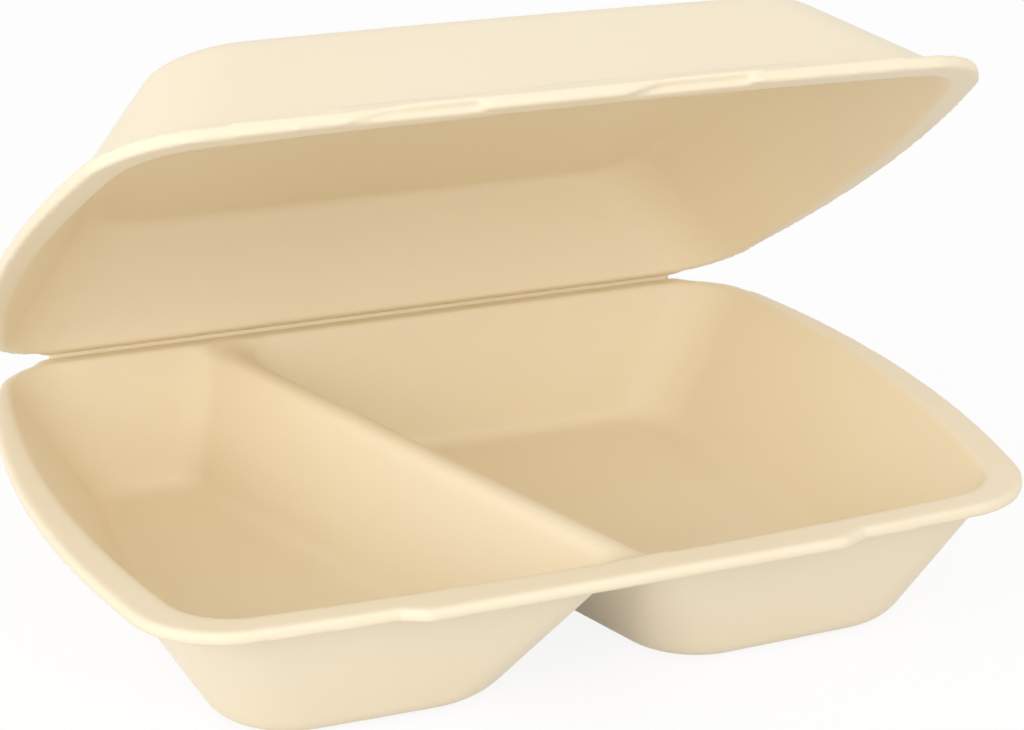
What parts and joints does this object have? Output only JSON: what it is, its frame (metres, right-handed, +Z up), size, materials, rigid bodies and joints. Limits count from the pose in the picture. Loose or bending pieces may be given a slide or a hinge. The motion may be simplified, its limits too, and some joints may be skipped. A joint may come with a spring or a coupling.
{
  "type": "foam clamshell container",
  "caption": "Hinged foam food container: a tray with a divider between its compartments, and a domed lid standing part open.",
  "frame": {"origin": "under the middle of the whole container with its lid at rest, on the plane of the pots' floors", "axes": "+X along the hinge, +Y from the front edge to the hinge, +Z up"},
  "size_m": [0.2344, 0.1902, 0.1458],
  "materials": {
    "tray_foam": "smooth satin cream foam",
    "lid_foam": "smooth satin cream foam"
  },
  "bodies": {
    "base": {"base_tray": "tray_foam"},
    "cover": {"lid": "lid_foam"}
  },
  "joints": [
    {"name": "lid_hinge", "type": "hinge", "parent": "base", "child": "cover", "pos_m": [0, 0.08681, 0.03965], "axis": [-1, 0, 0], "range_deg": [-33.1, 146.9]}
  ]
}
